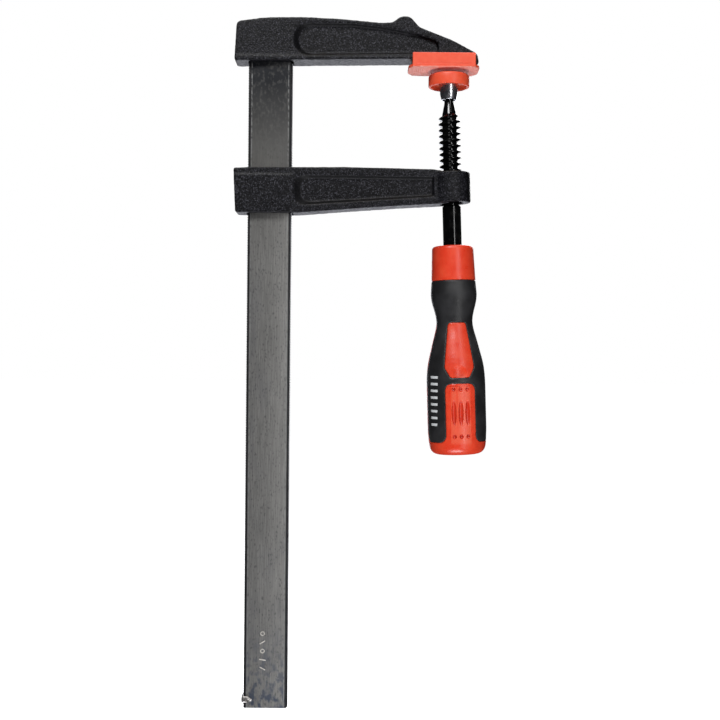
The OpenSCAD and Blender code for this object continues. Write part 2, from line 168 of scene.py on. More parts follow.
# the staked stop: a lump upset from the bar's back edge by one blow of a punch
stake_high = rail_low.z + 4.3 * mm
stake_left = rail_low.x
bpy.ops.mesh.primitive_cube_add(size=1, location=(stake_left + 2.6 * mm, 0, stake_high),
                                scale=(5.2 * mm, rail_thick + 1.5 * mm, 3.1 * mm))
stake = named("stake")
bpy.ops.mesh.bevel(offset=0.55 * mm, segments=2, affect="EDGES")
bpy.ops.mesh.subdivide(number_cuts=2, smoothness=0.4)
pick(stake, "VERT", lambda v: v.co.x > stake_left + 3.4 * mm)
bpy.ops.transform.resize(value=(1, 0.84, 0.45),
                         center_override=(stake_left + 3.4 * mm, 0, stake_high - 0.5 * mm))
outward(stake)
bpy.ops.mesh.primitive_uv_sphere_add(segments=24, ring_count=12, radius=1.1 * mm,
                                     location=(stake_left + 3.3 * mm, -3.9 * mm,
                                               stake_high - 1.1 * mm),
                                     rotation=(0, math.radians(35), 0), scale=(2.1, 1, 0.55))
punch = named("punch_mark")
alone(punch)
carve(stake, punch)

# the size stamp is five plain marks: rings and bars with no meaning
stamp_x = rail_mid - 1.5 * mm
stamp_z = rail_low.z + 19.5 * mm
marks = []
for i, kind in enumerate("bar bar dot bar dot".split()):
    place = (stamp_x, -rail_thick / 2, stamp_z + i * 4.3 * mm)
    if kind == "dot":
        bpy.ops.mesh.primitive_torus_add(major_segments=28, minor_segments=8, location=place,
                                         rotation=(math.pi / 2, 0, 0), major_radius=0.9 * mm,
                                         minor_radius=0.22 * mm)
        mark = named("stamp")
        bpy.ops.transform.resize(value=(1, 0.55, 1), center_override=place)
    else:
        bpy.ops.mesh.primitive_cube_add(size=1, location=place, rotation=(0, 0.5 - 0.35 * i, 0),
                                        scale=(3.2 * mm, 0.24 * mm, 0.5 * mm))
        mark = named("stamp")
        bpy.ops.mesh.bevel(offset=0.1 * mm, segments=2, affect="EDGES")
    marks.append(mark)
    alone(mark)
stamp = marks[0]
join(stamp, *marks[1:])


def paint(name, colour, rough, metal=0.0, **sockets):
    """A new material with the constant sockets of its shader set."""
    mat = bpy.data.materials.new(name)
    mat.use_nodes = True
    shader = mat.node_tree.nodes["Principled BSDF"]
    shader.inputs["Base Color"].default_value = (*colour, 1)
    shader.inputs["Roughness"].default_value = rough
    shader.inputs["Metallic"].default_value = metal
    for socket, value in sockets.items():
        shader.inputs[socket.replace("_", " ")].default_value = value
    return mat


def grain(mat, size, stretch=(1, 1, 1), detail=3.0):
    """Noise that stays in place on the piece. The size is one grain's, in metres."""
    nodes, links = mat.node_tree.nodes, mat.node_tree.links
    place = nodes.new("ShaderNodeTexCoord")
    scale = nodes.new("ShaderNodeMapping")
    scale.inputs["Scale"].default_value = [1 / (size * s) for s in stretch]
    pattern = nodes.new("ShaderNodeTexNoise")
    pattern.inputs["Scale"].default_value = 1
    pattern.inputs["Detail"].default_value = detail
    links.new(place.outputs["Object"], scale.inputs["Vector"])
    links.new(scale.outputs["Vector"], pattern.inputs["Vector"])
    return pattern.outputs["Fac"]


def along(mat, axis, centre=0.0, both=False):
    """How far a point lies along one axis from a centre, or from it either way."""
    nodes, links = mat.node_tree.nodes, mat.node_tree.links
    place = nodes.new("ShaderNodeTexCoord")
    split = nodes.new("ShaderNodeSeparateXYZ")
    shift = nodes.new("ShaderNodeMath")
    shift.operation = "SUBTRACT"
    shift.inputs[1].default_value = centre
    links.new(place.outputs["Object"], split.inputs[0])
    links.new(split.outputs[axis], shift.inputs[0])
    if not both:
        return shift.outputs[0]
    size = nodes.new("ShaderNodeMath")
    size.operation = "ABSOLUTE"
    links.new(shift.outputs[0], size.inputs[0])
    return size.outputs[0]


def span(mat, value, low, high, start=0.0, end=1.0):
    """Turns a value's run from low to high into one from start to end."""
    step = mat.node_tree.nodes.new("ShaderNodeMapRange")
    ends = {"From Min": low, "From Max": high, "To Min": start, "To Max": end}
    for socket, number in ends.items():
        step.inputs[socket].default_value = number
    mat.node_tree.links.new(value, step.inputs["Value"])
    return step.outputs["Result"]


def times(mat, a, b):
    """The product of two values."""
    step = mat.node_tree.nodes.new("ShaderNodeMath")
    step.operation = "MULTIPLY"
    mat.node_tree.links.new(a, step.inputs[0])
    mat.node_tree.links.new(b, step.inputs[1])
    return step.outputs[0]


def tint(mat, colour, share):
    """Lays a colour over what the base colour is so far, where share is above 0."""
    nodes, links = mat.node_tree.nodes, mat.node_tree.links
    base = nodes["Principled BSDF"].inputs["Base Color"]
    mix = nodes.new("ShaderNodeMix")
    mix.data_type = "RGBA"
    if base.links:
        links.new(base.links[0].from_socket, mix.inputs[6])
    else:
        mix.inputs[6].default_value = base.default_value
    mix.inputs[7].default_value = (*colour, 1)
    links.new(share, mix.inputs[0])
    links.new(mix.outputs[2], base)


def drive(mat, socket, value):
    """Lets a value that varies over the surface set one of the shader's sockets."""
    mat.node_tree.links.new(value, mat.node_tree.nodes["Principled BSDF"].inputs[socket])


def relief(mat, height, depth):
    """Adds a bump of this depth, in metres, to the ones so far."""
    nodes, links = mat.node_tree.nodes, mat.node_tree.links
    normal = nodes["Principled BSDF"].inputs["Normal"]
    bump = nodes.new("ShaderNodeBump")
    bump.inputs["Distance"].default_value = depth
    links.new(height, bump.inputs["Height"])
    if normal.links:
        links.new(normal.links[0].from_socket, bump.inputs["Normal"])
    links.new(bump.outputs["Normal"], normal)


rail_steel = paint("rail_steel", (0.145, 0.143, 0.137), 0.46, metal=0.4)
streaks = grain(rail_steel, 0.22 * mm, stretch=(1, 1, 45), detail=4)
clouds = grain(rail_steel, 9 * mm, stretch=(1, 1, 3), detail=7)
specks = grain(rail_steel, 0.7 * mm, stretch=(1, 1, 2.2), detail=5)
tint(rail_steel, (0.23, 0.226, 0.216), span(rail_steel, streaks, 0.42, 0.66, 0, 0.8))
tint(rail_steel, (0.10, 0.10, 0.105), span(rail_steel, clouds, 0.5, 0.7, 0, 0.45))
tint(rail_steel, (0.035, 0.035, 0.037), span(rail_steel, specks, 0.56, 0.68, 0, 0.55))
near_foot = span(rail_steel, along(rail_steel, "Z", rail_low.z), 42 * mm, 4 * mm)
# painted shade: the bar's colour is darkened towards its upper end, for the dimmer reflection it
# shows there
upper_rail_shade = span(rail_steel, along(rail_steel, "Z"), -95 * mm, -30 * mm, 0, 0.85)
tint(rail_steel, (0.085, 0.083, 0.078), upper_rail_shade)
# painted shade: the bar just below the jaw is painted nearly black, laid on in a mottled pattern
jaw_end_shade = span(rail_steel, along(rail_steel, "Z"), -46 * mm, -6 * mm)
stain = grain(rail_steel, 3 * mm, stretch=(1, 1, 1.6), detail=9)
scale = grain(rail_steel, 1.3 * mm, stretch=(1, 1, 1.5), detail=7)
tint(rail_steel, (0.05, 0.06, 0.085),
     times(rail_steel, near_foot, span(rail_steel, stain, 0.47, 0.6)))
# painted shade below the jaw, mottled
tint(rail_steel, (0.004, 0.005, 0.008),
     times(rail_steel, jaw_end_shade, span(rail_steel, scale, 0.05, 0.5)))
off_centre = along(rail_steel, "X", rail_mid, both=True)
half = rail_width / 2
bright_line = times(rail_steel, span(rail_steel, off_centre, half - 2.2 * mm, half - 2.0 * mm),
                    span(rail_steel, off_centre, half - 1.5 * mm, half - 1.7 * mm))
tint(rail_steel, (0.2, 0.2, 0.2),
     times(rail_steel, bright_line, span(rail_steel, specks, 0.6, 0.4)))
tint(rail_steel, (0.008, 0.008, 0.010),
     span(rail_steel, off_centre, half - 1.5 * mm, half - 1.3 * mm))
drive(rail_steel, "Roughness", span(rail_steel, clouds, 0.3, 0.7, 0.40, 0.54))
relief(rail_steel, streaks, 0.02 * mm)
relief(rail_steel, stain, 0.04 * mm)

raw_steel = paint("upset_steel", (0.5, 0.48, 0.46), 0.34, metal=0.8)
tint(raw_steel, (0.16, 0.15, 0.15),
     span(raw_steel, grain(raw_steel, 1.2 * mm, detail=5), 0.45, 0.65))
relief(raw_steel, grain(raw_steel, 0.5 * mm), 0.08 * mm)
stamp_white = paint("stamped_steel", (0.62, 0.59, 0.54), 0.5, metal=0.3)
tint(stamp_white, (0.3, 0.28, 0.25), span(stamp_white, grain(stamp_white, 0.6 * mm), 0.5, 0.62))
relief(stamp_white, grain(stamp_white, 0.4 * mm), 0.05 * mm)
for part, finish_of_part in ((rail, rail_steel), (stake, raw_steel), (stamp, stamp_white)):
    part.data.materials.clear()
    part.data.materials.append(finish_of_part)
join(rail, stake, stamp)
alone(rail)
bpy.ops.object.shade_smooth_by_angle(angle=math.radians(40))
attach(rail, "frame")
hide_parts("rail")

# ---------------------------------------------------------------------------
# Fixed jaw. A sand-cast iron arm with a flange all round, a drafted recess in
# each side and a hump over its nose. It is powder coated in a satin black and
# pressed on the rail's top end.
# ---------------------------------------------------------------------------
web_half = 4.2 * mm
grit = 0.42 * mm


def pattern_of(node, name):
    """A merged copy of a CAD casting, open in edit mode."""
    alone()
    piece = frame["nodes"][node].copy()
    piece.data = piece.data.copy()
    piece.parent = None
    piece.rotation_mode = "XYZ"
    piece.name = piece.data.name = name
    for key in list(piece.keys()):
        del piece[key]
    bpy.context.collection.objects.link(piece)
    piece.data.materials.clear()
    alone(piece)
    bpy.ops.object.mode_set(mode="EDIT")
    bpy.ops.mesh.select_all(action="SELECT")
    bpy.ops.mesh.remove_doubles(threshold=0.002 * mm)
    return piece


def draft(piece, centre, narrow, lower):
    """Slopes the side recesses' walls by drawing in their floors."""
    pick(piece, "FACE", lambda f: abs(f.normal.y) > 0.99
         and abs(abs(f.calc_center_median().y) - web_half) < 0.05 * mm)
    bpy.ops.transform.resize(value=(narrow, 1, lower), center_override=centre)
    bpy.ops.object.mode_set(mode="OBJECT")


def sand_cast(piece, voxel, rounds):
    """Rounds the edges as a sand mould does and gives the skin its coarse grain."""
    finish(piece, "REMESH", mode="VOXEL", voxel_size=voxel)
    finish(piece, "SMOOTH", factor=0.5, iterations=rounds)
    for size, depth in ((2.6 * mm, 0.09 * mm), (0.95 * mm, 0.20 * mm)):
        sand = bpy.data.textures.new("sand", "CLOUDS")
        sand.noise_scale = size
        finish(piece, "DISPLACE", texture=sand, texture_coords="LOCAL", strength=depth,
               mid_level=0.5)
    bpy.ops.object.shade_smooth()


jaw = pattern_of("fixed_jaw", "fixed_jaw_casting")
draft(jaw, (-7 * mm, 0, 13 * mm), 0.957, 0.88)
sand_cast(jaw, grit, 7)

coated_iron = paint("coated_iron", (0.0008, 0.0008, 0.0013), 0.42, Specular_IOR_Level=0.17)
peel = grain(coated_iron, 0.85 * mm, detail=3)
fine = grain(coated_iron, 0.5 * mm, detail=2)
tint(coated_iron, (0.008, 0.008, 0.0105), span(coated_iron, peel, 0.48, 0.60))
# painted glints: light specks stand in for sparkle on the coating's grain
tint(coated_iron, (0.075, 0.075, 0.09), span(coated_iron, fine, 0.54, 0.68, 0, 0.8))
facing = coated_iron.node_tree.nodes.new("ShaderNodeSeparateXYZ")
surface = coated_iron.node_tree.nodes.new("ShaderNodeTexCoord")
coated_iron.node_tree.links.new(surface.outputs["Normal"], facing.inputs[0])
aslant = coated_iron.node_tree.nodes.new("ShaderNodeMath")
aslant.operation = "ABSOLUTE"
coated_iron.node_tree.links.new(facing.outputs["Y"], aslant.inputs[0])
# painted shade: the sloped walls of the side recesses are painted darker
deep = along(coated_iron, "Y", both=True)
walls = times(coated_iron, span(coated_iron, deep, web_half + 0.1 * mm, web_half + 0.5 * mm),
              span(coated_iron, deep, web_half + 2.1 * mm, web_half + 1.7 * mm))
walls = times(coated_iron, walls, span(coated_iron, aslant.outputs[0], 0.2, 0.5, 0, 0.85))
# painted highlight: faces that turn upwards get a light brownish tint, broken up by a grain
top_highlight = span(coated_iron, facing.outputs["Z"], 0.25, 0.8, 0, 0.8)
top_highlight_grain = grain(coated_iron, 2.2 * mm, stretch=(3, 1, 1), detail=6)
tint(coated_iron, (0.045, 0.039, 0.031),
     times(coated_iron, top_highlight, span(coated_iron, top_highlight_grain, 0.3, 0.62, 0.15, 0.7)))
# painted shade on the recess walls
tint(coated_iron, (0.0015, 0.0015, 0.002), walls)
drive(coated_iron, "Roughness", span(coated_iron, peel, 0.35, 0.65, 0.34, 0.55))
relief(coated_iron, peel, 0.15 * mm)
relief(coated_iron, fine, 0.09 * mm)
jaw.data.materials.append(coated_iron)
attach(jaw, "frame")
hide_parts("fixed_jaw")

# ---------------------------------------------------------------------------
# Jaw cap. A soft orange-red plastic shoe clipped over the nose of the jaw: an
# open channel on a base plate with round ends, whose sole is finely stippled
# so that it neither slips nor marks the work.
# ---------------------------------------------------------------------------
shoe_low, shoe_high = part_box("jaw_cap")
box_left, box_right = -18.4 * mm, 12.4 * mm
side_y = 9.4 * mm
wall = 2.5 * mm
sole = 1.3 * mm
plate_thick = 1.6 * mm


def slab(name, low, high):
    """A box between two corners, open in edit mode."""
    alone()
    low, high = Vector(low), Vector(high)
    bpy.ops.mesh.primitive_cube_add(size=1, location=(low + high) / 2, scale=high - low)
    return named(name)


shoe = slab("jaw_shoe", (box_left, -side_y, 0), (box_right, side_y, shoe_high.z))
channel = slab("channel", (box_left + 1.4 * mm, wall - side_y, sole),
               (box_right + wall, side_y - wall, shoe_high.z + wall))
notch = slab("notch", (box_left - wall, wall - side_y, 4.5 * mm),
             (box_left + wall, side_y - wall, shoe_high.z + wall))
alone()
carve(shoe, channel, notch)
finish(shoe, "BEVEL", width=0.45 * mm, segments=3, limit_method="ANGLE",
       angle_limit=math.radians(50))

base = slab("base_plate", (shoe_low.x, shoe_low.y, 0), (shoe_high.x, shoe_high.y, plate_thick))
pick(base, "EDGE", lambda e: abs(e.verts[0].co.z - e.verts[1].co.z) > plate_thick / 2)
bpy.ops.mesh.bevel(offset=6 * mm, segments=10, affect="EDGES")
pick(base, "EDGE", lambda e: abs(e.verts[0].co.z - e.verts[1].co.z) < 0.01 * mm)
bpy.ops.mesh.bevel(offset=0.3 * mm, segments=2, affect="EDGES")
alone(base)
carve(shoe, base, how="UNION")

# the stipple: rows of small dimples pressed up into the sole
stipple_pitch = 0.95 * mm
mid_x = (shoe_low.x + shoe_high.x) / 2
half_x = (shoe_high.x - shoe_low.x) / 2 - 0.9 * mm
half_y = shoe_high.y - 0.9 * mm
corner = 5.2 * mm


def on_sole(x, y):
    """True where a dimple lies inside the plate's round corners."""
    past_x, past_y = abs(x) - half_x + corner, abs(y) - half_y + corner
    return past_x < 0 or past_y < 0 or math.hypot(past_x, past_y) < corner


alone()
bpy.ops.mesh.primitive_cone_add(vertices=6, radius1=0.33 * mm, radius2=0.1 * mm,
                                depth=0.5 * mm, location=(0, 0, 0))
dimple = named("dimple")
alone(dimple)
dimples = []
for i in range(-int(half_x / stipple_pitch), int(half_x / stipple_pitch) + 1):
    for j in range(-int(half_y / stipple_pitch), int(half_y / stipple_pitch) + 1):
        if on_sole(i * stipple_pitch, j * stipple_pitch):
            copy = dimple.copy()
            copy.data = dimple.data.copy()
            copy.location = (mid_x + i * stipple_pitch, j * stipple_pitch, 0)
            bpy.context.collection.objects.link(copy)
            dimples.append(copy)
bpy.data.objects.remove(dimple)
join(dimples[0], *dimples[1:])
bpy.ops.object.transform_apply(location=True, rotation=True, scale=True)
carve(shoe, dimples[0])

cover_plastic = paint("cover_plastic", (0.84, 0.088, 0.036), 0.40, Subsurface_Weight=0.12,
                      Subsurface_Scale=0.004)
moulded = grain(cover_plastic, 2.5 * mm, detail=4)
tint(cover_plastic, (0.88, 0.115, 0.048), span(cover_plastic, moulded, 0.4, 0.7, 0, 0.7))
drive(cover_plastic, "Roughness", span(cover_plastic, moulded, 0.3, 0.7, 0.36, 0.5))
relief(cover_plastic, grain(cover_plastic, 0.25 * mm, detail=2), 0.02 * mm)
# painted light: the sole gets a lighter, pinker copy of the cover plastic, for the light it
# catches from below; a grain lightens it further in places
sole_painted_light = paint("cover_sole_painted_light", (0.90, 0.24, 0.17), 0.55)
tint(sole_painted_light, (0.92, 0.42, 0.34), span(sole_painted_light, grain(sole_painted_light, 0.7 * mm), 0.42, 0.66))
relief(sole_painted_light, grain(sole_painted_light, 0.3 * mm), 0.05 * mm)
shoe.data.materials.clear()
shoe.data.materials.append(cover_plastic)
shoe.data.materials.append(sole_painted_light)
# the faces of the sole that look downwards take the painted light
for face in shoe.data.polygons:
    if face.center.z < 0.6 * mm and face.normal.z < -0.3:
        face.material_index = 1
alone(shoe)
bpy.ops.object.shade_smooth_by_angle(angle=math.radians(13))
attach(shoe, "frame")
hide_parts("jaw_cap")

# ---------------------------------------------------------------------------
# Sliding arm. The second casting: a flanged arm with a slot that rides on the
# rail and a round boss at its tip, bored for the spindle; the real boss is
# tapped, but the bore here is left plain.
# ---------------------------------------------------------------------------
turn_joint = next(j for j in frame["joints"] if j["name"] == "spindle_turn")
ball_centre = Vector(turn_joint["pos_m"])
lean = math.asin(turn_joint["axis"][0])


def on_spindle(piece):
    """Puts a piece that was made upright at the origin on the spindle's leaning axis."""
    alone(piece)
    piece.location = ball_centre
    piece.rotation_euler = (0, -lean, 0)
    bpy.ops.object.transform_apply(location=True, rotation=True, scale=True)


arm_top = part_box("sliding_arm")[1].z
arm = pattern_of("sliding_arm", "sliding_arm_casting")
draft(arm, (-9 * mm, 0, arm_top - 10.5 * mm), 0.935, 0.80)
sand_cast(arm, grit, 7)
alone()
bore_radius = 5.72 * mm
boss_middle = -47 * mm
bpy.ops.mesh.primitive_cylinder_add(vertices=64, radius=bore_radius, depth=40 * mm,
                                    location=(0, 0, boss_middle))
bore = named("bore")
alone(bore)
on_spindle(bore)
carve(arm, bore)
arm.data.materials.append(coated_iron)
alone(arm)
bpy.ops.object.shade_smooth_by_angle(angle=math.radians(50))
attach(arm, "arm")
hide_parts("sliding_arm")

# ---------------------------------------------------------------------------
# Spindle. One steel bar: a tenon for the ball, a tapered neck, a rolled thread
# of 3 mm pitch and a smooth shank that is pressed into the handle. Oiled black.
# ---------------------------------------------------------------------------
crest = 5.45 * mm
core = 3.6 * mm
pitch = 3 * mm
thread_end = -55.8 * mm
thread_turns = 15


def profile(name, points):
    """A line of points [radius, height] in the XZ plane, drawn by extruding one vertex."""
    alone()
    bpy.ops.mesh.primitive_plane_add(size=mm, location=(0, 0, 0))
    piece = named(name)
    bpy.ops.mesh.merge(type="CENTER")
    bpy.ops.transform.translate(value=(points[0][0], 0, points[0][1]))
    for (r0, z0), (r1, z1) in zip(points, points[1:]):
        bpy.ops.mesh.extrude_region_move(
            TRANSFORM_OT_translate={"value": (r1 - r0, 0, z1 - z0)})
    return piece


def turned(name, points, steps=96):
    """A turned piece: the profile spun right round the upright axis."""
    piece = profile(name, points)
    bpy.ops.mesh.select_all(action="SELECT")
    bpy.ops.mesh.spin(steps=steps, angle=math.tau, center=(0, 0, 0), axis=(0, 0, 1))
    outward(piece)
    return piece


ridge = [(core, 0), (core, 0.95), (core + 0.15 * mm, 1.15), (crest - 0.2 * mm, 1.72),
         (crest, 1.9), (crest, 2.15), (crest - 0.2 * mm, 2.33), (core + 0.15 * mm, 2.9),
         (core, 3.0)]
thread_low = thread_end + 0.8 * mm
spindle = profile("screw_spindle", [(r, thread_low + z * mm) for r, z in ridge])
finish(spindle, "SCREW", axis="Z", angle=math.tau, screw_offset=pitch, iterations=thread_turns,
       steps=48, render_steps=48, use_merge_vertices=True, merge_threshold=0.01 * mm)
outward(spindle)
thread_high = thread_low + (thread_turns + 1) * pitch
for v in spindle.data.vertices:
    left = min(v.co.z - thread_low, thread_high - v.co.z) / pitch - 1
    radius = math.hypot(v.co.x, v.co.y)
    target = core + (radius - core) * max(0, min(1, left * 1.1))
    v.co.x *= target / radius
    v.co.y *= target / radius


def round_off(piece, top, steps):
    """Closes one end of the thread: its edge is drawn level and then extruded in rings."""
    alone(piece)
    bpy.ops.object.mode_set(mode="EDIT")
    bpy.ops.mesh.select_mode(type="EDGE")
    bpy.ops.mesh.select_all(action="DESELECT")
    shape = bmesh.from_edit_mesh(piece.data)
    middle_z = (thread_low + thread_high) / 2
    for edge in shape.edges:
        if edge.is_boundary and (middle(edge).z > middle_z) == top:
            edge.select_set(True)
    bmesh.update_edit_mesh(piece.data)
    level = steps[0][1]
    bpy.ops.mesh.extrude_region_move(TRANSFORM_OT_translate={"value": (0, 0, 0)})
    bpy.ops.transform.resize(value=(1, 1, 0), center_override=(0, 0, level))
    for (r0, z0), (r1, z1) in zip(steps, steps[1:]):
        bpy.ops.mesh.extrude_region_move(TRANSFORM_OT_translate={"value": (0, 0, z1 - z0)})
        bpy.ops.transform.resize(value=(r1 / r0, r1 / r0, 1), center_override=(0, 0, z1))
    bpy.ops.mesh.edge_face_add()
    bpy.ops.object.mode_set(mode="OBJECT")


neck = 2.3 * mm
tenon = 1.5 * mm
shank = 4.55 * mm
shank_end = -165.1 * mm
taper_low, taper_high = -11 * mm, -4.8 * mm
round_off(spindle, True, [(core, thread_high + 0.3 * mm), (core, -5.2 * mm), (core, -4.4 * mm),
                          (core, -3.2 * mm), (tenon, -3.1 * mm), (tenon, 0.8 * mm)])
for v in spindle.data.vertices:
    radius = math.hypot(v.co.x, v.co.y)
    if v.co.z > taper_low and tenon * 1.1 < radius:
        share = max(0, (taper_high - v.co.z) / (taper_high - taper_low))
        v.co.x *= (neck + (core - neck) * share) / core
        v.co.y *= (neck + (core - neck) * share) / core
round_off(spindle, False, [(core, thread_low - 0.2 * mm), (core, thread_end + 0.2 * mm),
                           (shank - 0.5 * mm, thread_end), (shank, thread_end - 0.5 * mm),
                           (shank, shank_end + 1 * mm), (shank - 0.8 * mm, shank_end)])
outward(spindle)
alone(spindle)
bpy.ops.object.shade_smooth_by_angle(angle=math.radians(38))
on_spindle(spindle)

black_oxide = paint("black_oxide", (0.001, 0.001, 0.0012), 0.14, Specular_IOR_Level=0.4,
                    Coat_Weight=0.25, Coat_Roughness=0.06)
oil = grain(black_oxide, 4 * mm, detail=5)
scratch = grain(black_oxide, 0.5 * mm, stretch=(1, 1, 5), detail=5)
drive(black_oxide, "Roughness", span(black_oxide, oil, 0.35, 0.7, 0.10, 0.26))
tint(black_oxide, (0.004, 0.004, 0.0035), span(black_oxide, oil, 0.5, 0.7))
tint(black_oxide, (0.10, 0.10, 0.10), span(black_oxide, scratch, 0.70, 0.76, 0, 0.6))
relief(black_oxide, grain(black_oxide, 0.9 * mm, detail=4), 0.02 * mm)
spindle.data.materials.append(black_oxide)
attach(spindle, "screw")
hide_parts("spindle")

# ---------------------------------------------------------------------------
# Ball tip. A bright ground ball that turns on the spindle's tenon inside the
# pad's socket. The CAD solid is kept, with a polished steel finish.
# ---------------------------------------------------------------------------
ball_steel = paint("ball_steel", (0.56, 0.57, 0.58), 0.2, metal=1.0)
scuffs = grain(ball_steel, 0.8 * mm, stretch=(1, 1, 4), detail=5)
tint(ball_steel, (0.3, 0.3, 0.31), span(ball_steel, scuffs, 0.5, 0.7))
drive(ball_steel, "Roughness", span(ball_steel, scuffs, 0.3, 0.7, 0.14, 0.34))
relief(ball_steel, scuffs, 0.01 * mm)
frame["nodes"]["ball_tip"].material_slots[0].material = ball_steel

# ---------------------------------------------------------------------------
# Swivel pad. A zinc-plated disc whose hollow neck is crimped over the ball in
# four places, which leaves its lower edge slightly wavy.
# ---------------------------------------------------------------------------
pad_low, pad_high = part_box("swivel_pad")
disc = pad_high.x
face_z = pad_high.z - ball_centre.z
under_z = face_z - 2.4 * mm
crimp_z = pad_low.z - ball_centre.z
socket = [(3.55 * mm * math.cos(math.radians(a)), 3.55 * mm * math.sin(math.radians(a)))
          for a in range(-20, 81, 20)]


def on_axis(vertex, height):
    """True for a turned piece's vertices in the small hole round its axis at this height."""
    near = math.hypot(vertex.co.x, vertex.co.y) < 0.1 * mm
    return near and abs(vertex.co.z - height) < 0.01 * mm


pad = turned("swivel_pad_metal", [
    (0.05 * mm, face_z), (disc - 0.4 * mm, face_z), (disc, face_z - 0.4 * mm),
    (disc, under_z + 0.4 * mm), (disc - 0.4 * mm, under_z), (5.3 * mm, under_z),
    (4.7 * mm, under_z - 0.3 * mm), (4.5 * mm, under_z - 0.8 * mm), (4.3 * mm, -0.5 * mm),
    (3.95 * mm, -2.2 * mm), (3.8 * mm, crimp_z + 0.2 * mm), (3.65 * mm, crimp_z),
    (3.25 * mm, crimp_z), (3.2 * mm, crimp_z + 0.3 * mm), *socket, (0.05 * mm, 3.55 * mm)])
alone(pad)
bpy.ops.object.mode_set(mode="EDIT")
for height in (face_z, 3.55 * mm):
    pick(pad, "VERT", lambda v: on_axis(v, height))
    bpy.ops.mesh.merge(type="CENTER")
bpy.ops.object.mode_set(mode="OBJECT")
for v in pad.data.vertices:
    if v.co.z < -0.8 * mm:
        depth = min(1, (-0.8 * mm - v.co.z) / (2.4 * mm))
        turn = math.atan2(v.co.y, v.co.x)
        squeeze = 1 - 0.035 * depth * (0.5 + 0.5 * math.cos(4 * turn + 0.6))
        v.co.x *= squeeze
        v.co.y *= squeeze
alone(pad)
pad.location = (0, 0, ball_centre.z)
bpy.ops.object.transform_apply(location=True, rotation=True, scale=True)
bpy.ops.object.shade_smooth_by_angle(angle=math.radians(35))
zinc = paint("zinc_plate", (0.68, 0.69, 0.72), 0.24, metal=1.0)
dull = grain(zinc, 1.4 * mm, stretch=(1, 1, 1.8), detail=6)
tint(zinc, (0.34, 0.34, 0.38), span(zinc, dull, 0.45, 0.65))
drive(zinc, "Roughness", span(zinc, dull, 0.3, 0.7, 0.16, 0.42))
relief(zinc, dull, 0.05 * mm)
pad.data.materials.append(zinc)
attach(pad, "pad")
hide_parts("swivel_pad")

# ---------------------------------------------------------------------------
# Pad cap. A soft plastic cup pushed over the disc. Its rim hangs below the
# disc, and a lip inside it snaps under the disc and hides it from below.
# ---------------------------------------------------------------------------
cup_low, cup_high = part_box("pad_cap")
cup = cup_high.x
rim_in = 8.6 * mm
lip = 5.0 * mm
inside_top = cup_high.z - 1.3 * mm
disc_under = pad_high.z - 2.4 * mm
arc = [(cup - 1.2 * mm + 1.2 * mm * math.sin(math.radians(a)),
        cup_high.z - 1.2 * mm + 1.2 * mm * math.cos(math.radians(a))) for a in range(0, 91, 18)]
cap = turned("pad_cap_cup", [
    (0.05 * mm, cup_high.z), *arc, (cup, cup_low.z + 0.5 * mm),
    (cup - 0.15 * mm, cup_low.z + 0.15 * mm), (cup - 0.5 * mm, cup_low.z),
    (rim_in + 0.4 * mm, cup_low.z), (rim_in + 0.1 * mm, cup_low.z + 0.3 * mm),
    (rim_in - 0.25 * mm, disc_under - 0.9 * mm), (rim_in - 0.7 * mm, disc_under - 0.6 * mm),
    (lip + 0.3 * mm, disc_under - 0.5 * mm), (lip, disc_under - 0.3 * mm),
    (lip, disc_under - 0.08 * mm),
    (disc + 0.03 * mm, disc_under - 0.06 * mm), (disc + 0.03 * mm, inside_top + 0.02 * mm),
    (0.05 * mm, inside_top + 0.02 * mm)])
alone(cap)
bpy.ops.object.mode_set(mode="EDIT")
for height in (cup_high.z, inside_top + 0.02 * mm):
    pick(cap, "VERT", lambda v: on_axis(v, height))
    bpy.ops.mesh.merge(type="CENTER")
alone(cap)
bpy.ops.object.shade_smooth_by_angle(angle=math.radians(35))
cap.data.materials.append(cover_plastic)
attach(cap, "pad")
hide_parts("pad_cap")

# ---------------------------------------------------------------------------
# Handle core. Hard red plastic moulded round the shank: a collar at the top,
# three windows that stand level with the soft grip, and a domed end. Each
# window has a thumb rest above and a sunk panel of dots and grooves below.
# ---------------------------------------------------------------------------
window_turn = math.radians(4)
moulding = 0.4 * mm


def upright(piece):
    """The other way round: takes a piece off the leaning axis, to be worked on upright."""
    alone(piece)
    piece.location = -ball_centre
    bpy.ops.object.transform_apply(location=True, rotation=True, scale=True)
    piece.rotation_euler = (0, lean, 0)
    bpy.ops.object.transform_apply(location=True, rotation=True, scale=True)


def three_ways(cutter):
    """Joins two copies of a cutter to it, a third of a turn apart, lined up with the windows."""
    copies = []
    for k in range(3):
        copy = cutter.copy()
        copy.data = cutter.data.copy()
        bpy.context.collection.objects.link(copy)
        alone(copy)
        copy.rotation_euler = (0, 0, window_turn + k * math.tau / 3)
        bpy.ops.object.transform_apply(location=True, rotation=True, scale=True)
        copies.append(copy)
    bpy.data.objects.remove(cutter)
    join(copies[0], *copies[1:])
    return copies[0]


def blob(name, turn, reach, height, size):
    """A cutter: a stretched ball at this reach from the axis, turned from the window's middle."""
    alone()
    place = (reach * math.sin(turn), -reach * math.cos(turn), height)
    bpy.ops.mesh.primitive_uv_sphere_add(segments=32, ring_count=16, radius=1, location=place,
                                         rotation=(0, 0, turn), scale=size)
    piece = named(name)
    alone(piece)
    return piece


